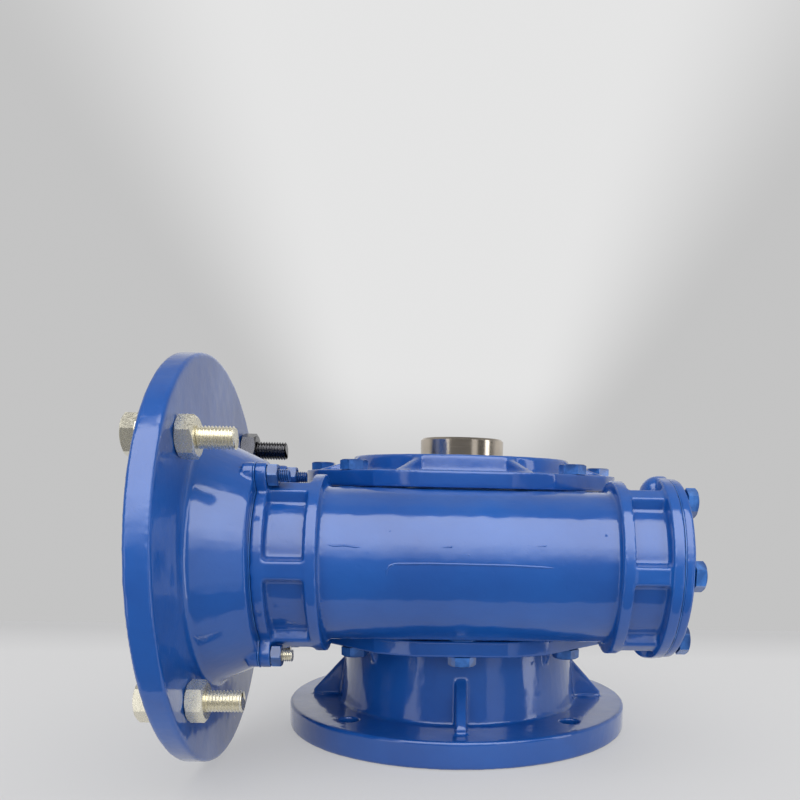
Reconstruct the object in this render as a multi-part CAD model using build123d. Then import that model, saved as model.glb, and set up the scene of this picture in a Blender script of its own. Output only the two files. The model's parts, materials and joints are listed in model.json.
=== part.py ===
from build123d import *
from math import acos, atan, atan2, cos, degrees, hypot, pi, radians, sin, sqrt, tan
import os

# Millimetres. The origin is the centre of the output flange's face, on the output axis.
# +Z runs up the output axis, and the worm lies along X, in front of it at negative Y.

# Gearing
axis_height = 105.0
centre_distance = 86.0
wheel_teeth = 30
worm_starts = 1
axial_module = 4.25
pressure_angle = 20.0
flank_play = 0.48
tip_play = 0.85
wheel_width = 32.0
wheel_outer_r = 70.0
thread_length = 66.0

# Output shaft, wheel hub and the parts on them
shaft_half_length = 69.0
shaft_bore_r = 17.5
shaft_r = 25.0
shaft_chamfer = 1.2
hub_seat_r = 28.0
collar_r = 32.0
collar_width = 5.0
spacer_width = 5.0
spacer_r = 33.0
bearing_shoulder = 29.4
hub_boss_r = 40.0
rim_inner_r = 52.0
output_keyway_width = 10.0
output_keyway_depth = 3.3
wheel_key_width = 14.0
wheel_key_height = 9.0
wheel_key_sunk = 5.5
wheel_key_length = 40.0

# Bearings: bore radius, outer radius, width, number of rollers
output_bearing = (25.0, 40.0, 20.0, 16)
input_bearing = (20.0, 34.0, 19.0, 14)
end_bearing = (15.0, 31.0, 17.25, 12)
roller_share = 0.42
roller_tilt = 13.0
roller_play = 0.03
cage_wall = 1.1
cage_play = 0.2

# Seals: outer radius and width
output_seal = (36.0, 8.0)
input_seal = (31.0, 8.0)
lip_play = 0.05

# Housing
drum_half_height = 39.0
drum_r = 84.0
drum_bore_r = 76.0
tube_r = 39.0
tube_bore_r = 31.0
tube_end_bore_r = 28.5
tube_shoulder = 5.0
input_face_x = -99.5
end_face_x = 103.1
ring_r = 45.0
input_ring_width = 5.5
end_ring_r = 47.0
end_ring_width = 5.8
input_rib_zone = (-75.4, -69.5)
end_rib_zone = (74.0, 80.0)
tube_rib_width = 8.4
tube_rib_foot = 12.4
tube_rib_count = 6
tube_rib_r = 44.6
end_boss_r = 9.0
end_boss_circle_r = 39.0
end_boss_length = 4.1
plug_boss_r = 11.0
plug_boss_reach = 88.0
plug_boss_height = 21.0

# Covers on the drum
cover_r = 93.0
cover_flat_r = 90.0
cover_sides = 8
gasket_thickness = 0.4
plate_top = 48.3
disc_r = 65.0
disc_top = 57.5
disc_draft = 1.5
disc_rounding = 2.0
bearing_boss_r = 46.0
bearing_boss_end = 31.0
spigot_depth = 3.0
cover_rib_width = 5.0
cover_rib_end_r = 88.0

# Output flange casting
flange_r = 104.5
flange_thickness = 15.4
register_r = 76.0
register_depth = 5.0
bell_top_r = 68.0
bell_base_r = 74.0
bell_wall = 8.5
flange_hole_r = 5.5
flange_hole_circle_r = 88.0
foot_rib_width = 6.0
foot_rib_start = (66.0, 59.3)
foot_rib_r = 91.0
foot_rib_nose = 3.0
foot_rib_count = 4
small_rib_width = 3.4
small_rib_r = 74.5
small_rib_drop = 14.0

# Motor adapter
motor_flange_r = 101.2
motor_flange_thickness = 11.4
motor_face_x = -136.0
motor_register_r = 65.0
motor_register_depth = 4.5
motor_hole_r = 5.5
motor_circle_r = 82.5
cone_base_r = 61.3
cone_top_r = 51.0
adapter_bore_r = 46.0
adapter_floor = 6.0
adapter_shaft_hole_r = 22.0
ear_r = 6.0
ear_circle_r = 50.3
ear_length = 5.6
ear_angles = (60, 120, 240, 300)

# Worm shaft
worm_start_x = -131.0
worm_end_x = 99.0
worm_core_r = 18.0
worm_collar_r = 23.0
worm_collar_width = 5.0
input_bearing_x = -94.7
end_bearing_x = 80.0
motor_bore_r = 12.0
motor_bore_depth = 53.0
motor_keyway_width = 8.0
motor_keyway_depth = 3.3

# End cover
end_cover_thickness = 5.0
end_cover_r = 46.5
end_spigot_wall = 5.0
shim_thickness = 0.5

# Fasteners: shank radius, head width across flats, head thickness, length under the head
cover_bolt = (4.0, 13.0, 5.3, 20.0)
cover_bolt_circle_r = 83.5
end_bolt = (4.0, 13.0, 5.3, 16.0)
end_bolt_circle_r = 39.7
end_bolt_count = 6
motor_bolt = (5.0, 17.0, 6.4, 40.0)
motor_nut_height = 8.0
flat_washer = (10.0, 2.0)
spring_washer = (9.0, 2.5)
stud_r = 3.0
stud_start_x = -106.0
stud_end_x = -84.0
stud_nut_width = 10.0
stud_nut_height = 5.0
clearance_hole = 0.5
thread_play = 0.1

# Oil plugs
plug_r = 6.6
plug_flange_r = 9.5
plug_flange_thickness = 2.5
plug_hex_width = 14.0
plug_hex_height = 5.0
plug_shank = 9.0
plug_washer_thickness = 1.5

# Radial play of parts that are pressed or slid together
seat_play = 0.02

wheel_pitch_r = axial_module * wheel_teeth / 2
worm_pitch_r = centre_distance - wheel_pitch_r
lead = pi * axial_module * worm_starts
worm_tip_r = worm_pitch_r + axial_module
worm_root_r = worm_pitch_r - axial_module - tip_play
housing_face = drum_half_height
plate_bottom = housing_face + gasket_thickness

# Local frames: the wheel's axis is vertical, and the worm's local Z runs along +X
wheel_frame = Location((0, 0, axis_height))
worm_frame = Plane(origin=(0, -centre_distance, axis_height), x_dir=(0, -1, 0), z_dir=(1, 0, 0)).location
upside_down = Rot(180, 0, 0)

nodes = {}


def keep(name, *shapes):
    solids = [solid for shape in shapes for solid in shape.solids()]
    nodes[name] = solids[0] if len(solids) == 1 else Compound(children=solids)


def revolved(*outline):
    return revolve(Plane.XZ * make_face(Polyline(*outline, close=True)), Axis.Z)


def rod(radius, bottom, top, x=0, y=0):
    return Pos(x, y, bottom) * Cylinder(radius, top - bottom, align=(Align.CENTER, Align.CENTER, Align.MIN))


def hexagon(width, bottom, top):
    return Pos(0, 0, bottom) * extrude(RegularPolygon(width / 2, 6, major_radius=False), top - bottom)


def around(shape, angles):
    return [Rot(0, 0, angle) * shape for angle in angles]


def spaced(count, start=0.0):
    return [start + 360.0 * step / count for step in range(count)]


def fin(width, *outline):
    return extrude(Plane.XZ * make_face(Polyline(*outline, close=True)), width / 2, both=True)


# Worm wheel

def thread_side(depth, height, side):
    radius = hypot(depth, height)
    half_width = axial_module * pi / 4 - (radius - worm_pitch_r) * tan(radians(pressure_angle))
    return lead * atan2(height, depth) / (2 * pi) + side * half_width


def gap_edge(height, radius, side):
    """How far round the wheel the turning worm thread reaches at this height and radius."""
    reach = 0.0
    tip_depth = sqrt(worm_tip_r ** 2 - height ** 2)
    root_depth = sqrt(max(worm_root_r ** 2 - height ** 2, 1.0))
    steps = 40
    for step in range(-steps, steps + 1):
        turn = 0.42 * step / steps
        low, high = root_depth, tip_depth
        for _ in range(24):
            depth = (low + high) / 2
            x = thread_side(depth, height, side) + wheel_pitch_r * turn
            if hypot(x, centre_distance - depth) > radius:
                low = depth
            else:
                high = depth
        depth = (low + high) / 2
        x = thread_side(depth, height, side) + wheel_pitch_r * turn
        if abs(hypot(x, centre_distance - depth) - radius) < 0.01:
            angle = atan2(x, centre_distance - depth) - turn
            reach = max(reach, angle * side) if reach else angle * side
    return side * reach


def gap_section(height):
    tip_depth = sqrt(worm_tip_r ** 2 - height ** 2)
    root = centre_distance - tip_depth
    middle = lead * atan2(height, tip_depth) / (2 * pi) / root
    reach = wheel_pitch_r + axial_module - root
    flank_radii = [root + 0.05 + reach * share for share in (0, 0.3, 0.62, 1.0)]
    edges = {}
    for side in (-1, 1):
        points = []
        for radius in flank_radii:
            angle = side * max(side * (gap_edge(height, radius, side) - middle), 0.004) + middle
            points.append((radius, angle + side * flank_play / radius))
        last, before = points[-1], points[-2]
        growth = (last[1] - before[1]) / (last[0] - before[0])
        outside = wheel_outer_r + 2.0
        points.append((outside, last[1] + growth * (outside - last[0])))
        points.insert(0, (root - tip_play, points[0][1]))
        edges[side] = points
    ring = edges[-1] + edges[1][::-1]
    outline = [(radius * sin(angle), -radius * cos(angle)) for radius, angle in ring]
    return Pos(0, 0, height) * make_face(Polyline(*outline, close=True))


def wheel_blank():
    half = wheel_width / 2
    throat_r = centre_distance - wheel_pitch_r - axial_module
    lip = sqrt(throat_r ** 2 - (centre_distance - wheel_outer_r) ** 2)
    bevel = 2.0
    throat = ThreePointArc((wheel_outer_r, lip), (centre_distance - throat_r, 0), (wheel_outer_r, -lip))
    rest = Polyline((wheel_outer_r, -lip), (wheel_outer_r, -half + bevel), (wheel_outer_r - bevel, -half),
                    (rim_inner_r, -half), (rim_inner_r, half), (wheel_outer_r - bevel, half),
                    (wheel_outer_r, half - bevel), (wheel_outer_r, lip))
    return revolve(Plane.XZ * make_face([throat, *rest.edges()]), Axis.Z)


def wheel_rim():
    reach = wheel_width / 2 + 0.5
    sections = [gap_section(reach * share) for share in (-1, -0.5, 0, 0.5, 1)]
    gap = loft(sections, ruled=True)
    return wheel_blank() - around(gap, spaced(wheel_teeth))


def wheel_hub():
    half = bearing_shoulder - collar_width
    web = wheel_width / 2
    bore = hub_seat_r + seat_play
    outer = rim_inner_r - seat_play
    body = revolved((bore, -half), (hub_boss_r, -half), (hub_boss_r + 2, -web), (outer, -web),
                    (outer, web), (hub_boss_r + 2, web), (hub_boss_r, half), (bore, half))
    slot_depth = wheel_key_height - wheel_key_sunk + hub_seat_r + tip_play
    slot = Pos(0, slot_depth / 2, 0) * Box(wheel_key_width + 2 * seat_play, slot_depth, 2 * half + 1)
    return body - slot


def hollow_shaft():
    end = shaft_half_length
    seat = bearing_shoulder
    collar = -seat + collar_width
    body = revolved((shaft_bore_r, -end), (shaft_r - shaft_chamfer, -end), (shaft_r, -end + shaft_chamfer),
                    (shaft_r, -seat), (collar_r, -seat), (collar_r, collar), (hub_seat_r, collar),
                    (hub_seat_r, seat), (shaft_r, seat), (shaft_r, end - shaft_chamfer),
                    (shaft_r - shaft_chamfer, end), (shaft_bore_r, end))
    keyway_reach = shaft_bore_r + output_keyway_depth
    keyway = Pos(0, -keyway_reach / 2, 0) * Box(output_keyway_width, keyway_reach, 2 * end + 1)
    return body - keyway - wheel_key(seat_play)


def wheel_key(play=0.0):
    height = wheel_key_height + play
    base = hub_seat_r - wheel_key_sunk
    block = Box(wheel_key_width + 2 * play, height, wheel_key_length + 2 * play)
    return Pos(0, base - play + height / 2, 0) * block


def wheel_spacer():
    bore = hub_seat_r + seat_play
    start = bearing_shoulder - spacer_width
    return revolved((bore, start), (spacer_r, start), (spacer_r, bearing_shoulder), (bore, bearing_shoulder))


# Tapered roller bearing, from z 0 to its width, with the rollers' larger end at the top

def taper_bearing(bore_r, outer_r, width, count):
    tilt = radians(roller_tilt)
    roller_r = roller_share * (outer_r - bore_r) / 2
    roller_length = 0.66 * width
    middle_r = (bore_r + outer_r) / 2 + 0.3
    taper = atan(roller_r * sin(tilt) / middle_r)
    half = roller_length / 2

    def point(along, out):
        radius = middle_r + along * sin(tilt) + out * cos(tilt)
        return radius, width / 2 + along * cos(tilt) - out * sin(tilt)

    def roller_radius(along):
        return roller_r + along * tan(taper)

    def race(height, side):
        low = point(-width, side * (roller_radius(-width) + roller_play))
        high = point(width, side * (roller_radius(width) + roller_play))
        share = (height - low[1]) / (high[1] - low[1])
        return low[0] + share * (high[0] - low[0])

    cup = revolved((race(0, 1), 0), (outer_r, 0), (outer_r, width), (race(width, 1), width))
    small = point(-half - 0.1, -roller_radius(-half) - roller_play)
    large = point(half + 0.1, -roller_radius(half) - roller_play)
    small_rib = point(-half - 0.1, -roller_radius(-half) + 0.4 * roller_r)
    large_rib = point(half + 0.1, -roller_radius(half) + 0.7 * roller_r)
    cone = revolved((bore_r, 0), (small_rib[0], 0), small_rib, small, large, large_rib,
                    (large_rib[0], width), (bore_r, width))

    def roller(extra_r, extra_half):
        length = roller_length + 2 * extra_half
        body = Cone(roller_radius(-half) + extra_r, roller_radius(half) + extra_r, length)
        return Pos(middle_r, 0, width / 2) * Rot(0, roller_tilt, 0) * body

    rollers = around(roller(0, 0), spaced(count))
    cage_ring = revolved(point(-half - 1.6, 0), point(half + 1.2, 0),
                         point(half + 1.2, cage_wall), point(-half - 1.6, cage_wall))
    cage = cage_ring - around(roller(cage_play, cage_play), spaced(count))
    return cup, cone, rollers, cage


def lip_seal(shaft, outer, width):
    lip = shaft + lip_play
    rim = outer - seat_play
    return revolved((rim, 0), (rim, width), (outer - 2.2, width), (outer - 2.2, 2.0), (lip + 2.6, 2.0),
                    (lip + 1.8, width - 1.2), (lip + 0.6, width - 1.2), (lip, width - 2.4),
                    (lip + 0.9, 1.0), (lip + 0.9, 0))


# Castings on the drum, drawn about the wheel's middle plane

def cover_outline():
    flats = RegularPolygon(cover_flat_r, cover_sides, major_radius=False, rotation=180 / cover_sides)
    return Circle(cover_r) & flats


def cover_bolt_angles():
    return [angle - 90 for angle in spaced(cover_sides)[1:]]


def cover_plate(radius_inside):
    plate = Pos(0, 0, plate_bottom) * extrude(cover_outline(), plate_top - plate_bottom)
    hole = rod(cover_bolt[0] + clearance_hole, plate_bottom - 1, plate_top + 1, x=cover_bolt_circle_r)
    low, high, outer = plate_bottom - spigot_depth, plate_bottom + 1, drum_bore_r - 0.1
    spigot = revolved((radius_inside, low), (outer, low), (outer, high), (radius_inside, high))
    boss = rod(bearing_boss_r, bearing_boss_end, plate_bottom + 1)
    return plate + spigot + boss - around(hole, cover_bolt_angles())


def shaft_way():
    top = bearing_shoulder + output_bearing[2]
    bearing_seat = rod(output_bearing[1] + seat_play, bearing_boss_end - 1, top)
    return bearing_seat + rod(output_seal[0], top - 1, disc_top + 20)


def top_cover():
    foot = plate_top - 1
    outline = FilletPolyline((0, foot), (disc_r + disc_draft, foot), (disc_r, disc_top), (0, disc_top),
                             radius=(0.5, 0.5, disc_rounding, 0.5), close=True)
    disc = revolve(Plane.XZ * make_face(outline), Axis.Z)
    rib_top = disc_top - 1.6
    rib = fin(cover_rib_width, (disc_r - 6, foot), (cover_rib_end_r, foot),
              (cover_rib_end_r, plate_top + 0.2), (disc_r - 0.5, rib_top), (disc_r - 6, rib_top))
    ribs = around(rib, spaced(cover_sides, 180 / cover_sides))
    return cover_plate(drum_bore_r - 6) + disc + ribs - shaft_way()


def flange_casting():
    face = axis_height
    flange_top = face - flange_thickness
    step = 1.0
    roof = output_bearing[2] + bearing_shoulder + output_seal[1] + 1.0
    bell = revolved((0, plate_top - step), (bell_top_r, plate_top - step), (bell_base_r, flange_top + step),
                    (0, flange_top + step))
    disc_edge = 1.0
    disc = revolved((0, flange_top), (flange_r - disc_edge, flange_top), (flange_r, flange_top + disc_edge),
                    (flange_r, face - disc_edge), (flange_r - disc_edge, face), (0, face))
    foot_rib = fin(foot_rib_width, foot_rib_start, (foot_rib_r, flange_top - foot_rib_nose),
                   (foot_rib_r, flange_top + step), (foot_rib_start[0], flange_top + step))
    small_rib = fin(small_rib_width, (bell_top_r - 4, plate_top - step), (small_rib_r, plate_top - step),
                    (small_rib_r, plate_top + step), (bell_top_r + 1, plate_top + small_rib_drop),
                    (bell_top_r - 4, plate_top + small_rib_drop))
    turn = 360 / foot_rib_count
    body = (cover_plate(drum_bore_r - 6) + bell + disc + around(foot_rib, spaced(foot_rib_count))
            + around(small_rib, spaced(foot_rib_count, turn / 2)))
    step_z = face - register_depth
    cavity = revolved((0, roof), (bell_top_r - bell_wall, roof), (bell_base_r - bell_wall, step_z),
                      (register_r, step_z), (register_r, face + 1), (0, face + 1))
    hole = rod(flange_hole_r, flange_top - 1, face + 1, x=flange_hole_circle_r)
    return body - cavity - shaft_way() - around(hole, spaced(foot_rib_count, turn / 2))


def drum_face():
    column = Pos(cover_bolt_circle_r, 0) * Circle(cover_r - cover_bolt_circle_r - 1.5)
    return (Circle(drum_r) + around(column, cover_bolt_angles())) & cover_outline()


def flat_ring_gasket():
    outline = drum_face() - Circle(drum_bore_r + 0.5)
    holes = [Rot(0, 0, angle) * (Pos(cover_bolt_circle_r, 0) * Circle(cover_bolt[0] + clearance_hole))
             for angle in cover_bolt_angles()]
    return Pos(0, 0, housing_face) * extrude(outline - holes, gasket_thickness)


# Housing: a drum round the wheel and a ribbed tube round the worm

def plug_places():
    return {"oil_filler_plug": (67.5, plug_boss_height), "oil_level_plug": (112.5, 0),
            "oil_drain_plug": (67.5, -plug_boss_height)}


def plug_frame(angle, height, radius):
    return Rot(0, 0, angle) * Pos(radius, 0, height) * Rot(0, 90, 0)


def on_worm(shape):
    """Moves a shape from the worm's local frame into the frame of the wheel."""
    return Location((0, 0, -axis_height)) * (worm_frame * shape)


def tube_rib(low, high):
    foot, half, sunk = tube_rib_foot / 2, tube_rib_width / 2, tube_r - 2
    outline = Polyline((sunk, -foot), (tube_rib_r, -half), (tube_rib_r, half), (sunk, foot), close=True)
    return Pos(0, 0, low) * extrude(make_face(outline), high - low)


def joint_ear(low, high):
    base = Pos(ear_circle_r - ear_r, 0, (low + high) / 2) * Box(2 * ear_r, 2 * ear_r, high - low)
    return rod(ear_r, low, high, x=ear_circle_r) + base


def tube_outside():
    ring = rod(tube_r, input_face_x, end_face_x)
    ring += rod(ring_r, input_face_x, input_face_x + input_ring_width)
    ring += rod(ring_r, *input_rib_zone) + rod(ring_r, *end_rib_zone)
    ring += rod(end_ring_r, end_face_x - end_ring_width, end_face_x)
    for low, high in ((input_face_x + 1, input_rib_zone[1] - 1), (end_rib_zone[0] + 1, end_face_x - 1)):
        ring += around(tube_rib(low, high), spaced(tube_rib_count))
    ear = joint_ear(input_face_x, input_face_x + input_ring_width)
    boss_start = end_face_x - end_boss_length
    boss = rod(end_boss_r, boss_start, end_face_x, x=end_boss_circle_r)
    dome = Sphere(end_boss_r, arc_size2=0, align=(Align.CENTER, Align.CENTER, Align.MAX))
    boss += Pos(end_boss_circle_r, 0, boss_start) * dome
    return ring + around(ear, ear_angles) + around(boss, (90, 270))


def tube_inside():
    end_shoulder = end_bearing_x - tube_shoulder
    input_seat_end = input_bearing_x + input_bearing[2]
    ways = rod(input_bearing[1] + seat_play, input_face_x - 1, input_seat_end)
    ways += rod(tube_bore_r, input_seat_end - 1, end_shoulder)
    ways += rod(tube_end_bore_r, end_shoulder - 1, end_bearing_x)
    ways += rod(end_bearing[1] + seat_play, end_bearing_x, end_face_x + 1)
    ring_end = input_face_x + input_ring_width
    stud_hole = rod(stud_r + clearance_hole, input_face_x - 1, ring_end + 1, x=ear_circle_r)
    bolt_end = end_face_x - end_bolt[3] + end_cover_thickness
    bolt_hole = rod(end_bolt[0] + thread_play, bolt_end - 1, end_face_x + 1, x=end_bolt_circle_r)
    return [ways, *around(stud_hole, ear_angles), *around(bolt_hole, spaced(end_bolt_count))]


def housing():
    body = Pos(0, 0, -housing_face) * extrude(drum_face(), 2 * housing_face)
    body += on_worm(tube_outside())
    for angle, height in plug_places().values():
        boss_length = plug_boss_reach - drum_bore_r - 1
        body += plug_frame(angle, height, plug_boss_reach - boss_length) * rod(plug_boss_r, 0, boss_length)
    body -= rod(drum_bore_r, -housing_face - 1, housing_face + 1)
    body -= on_worm(Compound(children=tube_inside()))
    depth = cover_bolt[3] - (plate_top - plate_bottom) + 2.0
    for flip in (Rot(0, 0, 0), upside_down):
        hole = rod(cover_bolt[0] + thread_play, housing_face - depth, housing_face + 1, x=cover_bolt_circle_r)
        body -= [flip * (Rot(0, 0, angle) * hole) for angle in cover_bolt_angles()]
    for angle, height in plug_places().values():
        body -= plug_frame(angle, height, drum_bore_r - 5) * rod(plug_r + thread_play, 0, plug_boss_reach)
    return body


# Motor adapter, end cover and the worm, drawn along the worm's local Z

def motor_adapter():
    back = motor_face_x + motor_flange_thickness
    face = input_face_x - gasket_thickness
    seat = input_bearing_x - input_seal[1] - 0.8
    floor = seat - adapter_floor
    spigot_r = input_bearing[1] - seat_play
    edge = 1.0
    rim = motor_flange_r - edge
    body = revolved((0, motor_face_x), (rim, motor_face_x), (motor_flange_r, motor_face_x + edge),
                    (motor_flange_r, back - edge), (rim, back), (cone_base_r + 2, back),
                    (cone_base_r, back + 2), (cone_top_r, face), (spigot_r, face),
                    (spigot_r, input_bearing_x), (0, input_bearing_x))
    body += around(joint_ear(face - ear_length, face), ear_angles)
    ways = rod(motor_register_r, motor_face_x - 1, motor_face_x + motor_register_depth)
    ways += rod(adapter_bore_r, motor_face_x, floor)
    ways += rod(adapter_shaft_hole_r, floor - 1, seat + 1)
    ways += rod(input_seal[0], seat, input_bearing_x + 1)
    motor_hole = rod(motor_hole_r, motor_face_x - 1, back + 1, x=motor_circle_r)
    stud_hole = rod(stud_r + thread_play, stud_start_x - 1, face + 1, x=ear_circle_r)
    return body - ways - around(motor_hole, spaced(4, 45)) - around(stud_hole, ear_angles)


def adapter_gasket():
    start = input_face_x - gasket_thickness
    sheet = rod(ring_r, start, input_face_x) + around(joint_ear(start, input_face_x), ear_angles)
    hole = rod(stud_r + clearance_hole, start - 1, input_face_x + 1, x=ear_circle_r)
    return sheet - rod(input_bearing[1] + 1, start - 1, input_face_x + 1) - around(hole, ear_angles)


def end_cover():
    seat = end_face_x + gasket_thickness
    spigot_end = end_bearing_x + end_bearing[2] + shim_thickness
    spigot_r = end_bearing[1] - seat_play
    edge = 1.2
    top = seat + end_cover_thickness
    body = revolved((0, seat), (spigot_r - end_spigot_wall, seat), (spigot_r - end_spigot_wall, spigot_end),
                    (spigot_r, spigot_end), (spigot_r, seat), (end_cover_r, seat), (end_cover_r, top - edge),
                    (end_cover_r - edge, top), (0, top))
    hole = rod(end_bolt[0] + clearance_hole, seat - 1, top + 1, x=end_bolt_circle_r)
    return body - around(hole, spaced(end_bolt_count))


def end_gasket():
    sheet = washer(end_bearing[1] + 1, end_cover_r, end_face_x, gasket_thickness)
    hole = rod(end_bolt[0] + clearance_hole, end_face_x - 1, end_face_x + 1, x=end_bolt_circle_r)
    return sheet - around(hole, spaced(end_bolt_count))


def end_shims():
    outer = end_bearing[1] - 2 * seat_play
    return washer(outer - end_spigot_wall, outer, end_bearing_x + end_bearing[2], shim_thickness)


def worm_thread():
    """One trapezoid thread, swept along its helix and cut off square at both ends."""
    sink = 1.5
    half_root = axial_module * pi / 4 + (worm_pitch_r - worm_root_r + sink) * tan(radians(pressure_angle))
    half_tip = axial_module * pi / 4 - axial_module * tan(radians(pressure_angle))
    length = thread_length + 2 * lead
    start = -length / 2
    begin = (round(start / lead) + 0.5) * lead
    foot = worm_root_r - sink
    outline = Polyline((foot, begin - half_root), (worm_tip_r, begin - half_tip),
                       (worm_tip_r, begin + half_tip), (foot, begin + half_root), close=True)
    profile = Plane.XZ * make_face(outline)
    path = Pos(0, 0, begin) * Helix(lead, -2 * begin, worm_pitch_r)
    thread = sweep(profile, path=path, is_frenet=True)
    bevel = axial_module
    half = thread_length / 2
    limits = revolved((0, -half), (worm_tip_r - bevel, -half), (worm_tip_r + 1, -half + bevel + 1),
                      (worm_tip_r + 1, half - bevel - 1), (worm_tip_r - bevel, half), (0, half))
    return thread & limits


def worm_shaft():
    sleeve_r = input_bearing[0]
    seat_end = input_bearing_x + input_bearing[2]
    half = thread_length / 2
    edge = 1.0
    collar_end = seat_end + worm_collar_width
    body = revolved((0, worm_start_x), (sleeve_r - edge, worm_start_x), (sleeve_r, worm_start_x + edge),
                    (sleeve_r, seat_end), (worm_collar_r, seat_end), (worm_collar_r, collar_end),
                    (worm_core_r, collar_end), (worm_core_r, -half - 4), (worm_root_r, -half - 1.5),
                    (worm_root_r, half + 1.5), (worm_core_r, half + 4), (worm_core_r, end_bearing_x),
                    (end_bearing[0], end_bearing_x), (end_bearing[0], worm_end_x - edge),
                    (end_bearing[0] - edge, worm_end_x), (0, worm_end_x))
    body += worm_thread()
    bore_end = worm_start_x + motor_bore_depth
    keyway_reach = motor_bore_r + motor_keyway_depth
    keyway = Pos(keyway_reach / 2, 0, worm_start_x + motor_bore_depth / 2) \
        * Box(keyway_reach, motor_keyway_width, motor_bore_depth)
    return body - rod(motor_bore_r, worm_start_x - 1, bore_end) - keyway


# Fasteners

def bolt(size, seat=0.0):
    shank_r, width, head, length = size
    return hexagon(width, seat, seat + head) + rod(shank_r, seat - length, seat + head / 2)


def washer(hole_r, outer_r, bottom, thickness):
    return rod(outer_r, bottom, bottom + thickness) - rod(hole_r, bottom - 1, bottom + thickness + 1)


def nut(width, hole_r, bottom, height):
    return hexagon(width, bottom, bottom + height) - rod(hole_r, bottom - 1, bottom + height + 1)


def ring_of(shape, circle_r, angles):
    return around(Pos(circle_r, 0, 0) * shape, angles)


def spring_ring(hole_r, outer_r, bottom, thickness):
    split = Pos(outer_r - 1.5, 0, bottom + thickness / 2) * Rot(25, 0, 0) * Box(outer_r, 1.2, 3 * thickness)
    return washer(hole_r, outer_r, bottom, thickness) - split


def oil_plug():
    seat = plug_washer_thickness
    flange_top = seat + plug_flange_thickness
    flange = rod(plug_flange_r, seat, flange_top)
    head = hexagon(plug_hex_width, flange_top - 0.5, flange_top + plug_hex_height)
    return flange + head + rod(plug_r, seat - plug_shank, seat + 1)


# All the pieces, each put in its place

keep("housing", wheel_frame * housing())
keep("top_cover", wheel_frame * top_cover())
keep("output_flange", wheel_frame * (upside_down * flange_casting()))
keep("top_cover_gasket", wheel_frame * flat_ring_gasket())
keep("output_flange_gasket", wheel_frame * (upside_down * flat_ring_gasket()))

keep("wheel_rim", wheel_frame * wheel_rim())
keep("wheel_hub", wheel_frame * wheel_hub())
keep("wheel_key", wheel_frame * wheel_key())
keep("wheel_spacer", wheel_frame * wheel_spacer())
keep("hollow_shaft", wheel_frame * hollow_shaft())

keep("worm_shaft", worm_frame * worm_shaft())
keep("motor_adapter", worm_frame * motor_adapter())
keep("worm_end_cover", worm_frame * end_cover())
keep("adapter_gasket", worm_frame * adapter_gasket())
keep("end_cover_gasket", worm_frame * end_gasket())
keep("worm_end_shims", worm_frame * end_shims())

seal_seat = bearing_shoulder + output_bearing[2]
bearing_places = {
    "upper_output_bearing": (output_bearing, wheel_frame * Pos(0, 0, seal_seat) * upside_down),
    "lower_output_bearing": (output_bearing, wheel_frame * Pos(0, 0, -seal_seat)),
    "worm_input_bearing": (input_bearing, worm_frame * Pos(0, 0, input_bearing_x)),
    "worm_end_bearing": (end_bearing, worm_frame * Pos(0, 0, end_bearing_x + end_bearing[2]) * upside_down),
}
for name, (size, place) in bearing_places.items():
    cup, cone, rollers, cage = taper_bearing(*size)
    keep(name + "_outer_ring", place * cup)
    keep(name + "_inner_ring", place * cone)
    keep(name + "_rollers", *[place * roller for roller in rollers])
    keep(name + "_cage", place * cage)

output_lip_seal = lip_seal(shaft_r, *output_seal)
keep("upper_output_seal", wheel_frame * Pos(0, 0, seal_seat + output_seal[1]) * upside_down * output_lip_seal)
keep("lower_output_seal", wheel_frame * Pos(0, 0, -seal_seat - output_seal[1]) * output_lip_seal)
keep("worm_input_seal", worm_frame * Pos(0, 0, input_bearing_x - input_seal[1] - 0.8)
     * lip_seal(input_bearing[0], *input_seal))

cover_bolts = ring_of(bolt(cover_bolt, plate_top), cover_bolt_circle_r, cover_bolt_angles())
keep("top_cover_bolts", *[wheel_frame * each for each in cover_bolts])
keep("output_flange_bolts", *[wheel_frame * (upside_down * each) for each in cover_bolts])

end_top = end_face_x + gasket_thickness + end_cover_thickness
keep("end_cover_bolts", *[worm_frame * each for each in
                          ring_of(bolt(end_bolt, end_top), end_bolt_circle_r, spaced(end_bolt_count))])

stud = rod(stud_r, stud_start_x, stud_end_x)
stud_nut = nut(stud_nut_width, stud_r + thread_play, input_face_x + input_ring_width, stud_nut_height)
keep("adapter_studs", *[worm_frame * each for each in ring_of(stud, ear_circle_r, ear_angles)])
stud_nuts = ring_of(Rot(0, 0, 30) * stud_nut, ear_circle_r, ear_angles)
keep("adapter_nuts", *[worm_frame * each for each in stud_nuts])

head_seat = motor_face_x - flat_washer[1] - spring_washer[1]
motor_bolt_body = Pos(0, 0, head_seat) * upside_down * bolt(motor_bolt)
nut_seat = motor_face_x + motor_flange_thickness
motor_nut = nut(motor_bolt[1], motor_bolt[0] + thread_play, nut_seat, motor_nut_height)
motor_parts = {
    "motor_bolts": motor_bolt_body,
    "motor_nuts": motor_nut,
    "motor_flat_washers": washer(motor_bolt[0] + clearance_hole, flat_washer[0],
                                 motor_face_x - flat_washer[1], flat_washer[1]),
    "motor_spring_washers": spring_ring(motor_bolt[0] + 0.3, spring_washer[0], head_seat, spring_washer[1]),
}
for name, shape in motor_parts.items():
    keep(name, *[worm_frame * each for each in ring_of(shape, motor_circle_r, spaced(4, 45))])

plug_washers = []
for name, (angle, height) in plug_places().items():
    place = wheel_frame * plug_frame(angle, height, plug_boss_reach)
    keep(name, place * oil_plug())
    plug_washers.append(place * washer(plug_r + thread_play, plug_flange_r, 0, plug_washer_thickness))
keep("oil_plug_washers", *plug_washers)

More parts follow.
